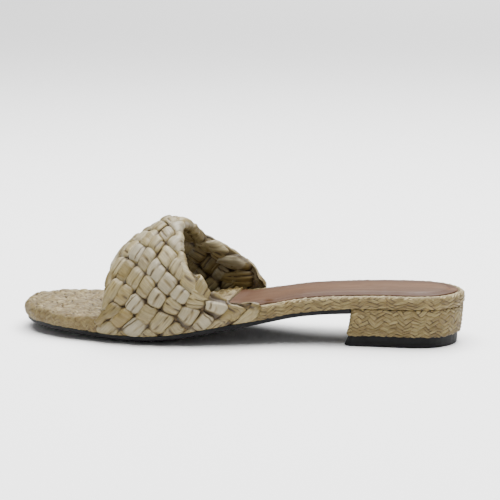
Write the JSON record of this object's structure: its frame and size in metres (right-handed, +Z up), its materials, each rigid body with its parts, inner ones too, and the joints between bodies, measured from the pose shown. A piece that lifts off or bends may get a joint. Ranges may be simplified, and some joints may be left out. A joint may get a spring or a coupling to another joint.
{
  "type": "slide sandal",
  "caption": "Left slide sandal with a wide plaited raffia band, open toe and back, padded leather insole, braided sole edge and a low block heel.",
  "frame": {"origin": "on the floor, under the middle of the part's length and width, standing on its sole", "axes": "-X points to the toe, +X to the heel, +Y to the medial (inner) side, +Z up"},
  "size_m": [0.25, 0.0906, 0.0656],
  "materials": {
    "raffia": "plaited raffia, pale straw, soft sheen",
    "raffia_braid": "fine raffia braid, straw, matt",
    "leather": "smooth brown, satin",
    "rubber": "black, satin"
  },
  "bodies": {
    "root": {"outsole": "rubber", "midsole": "raffia_braid", "toe_cover": "raffia", "insole": "leather", "upper": "raffia", "heel_block": "raffia_braid", "top_piece": "rubber"}
  },
  "joints": []
}
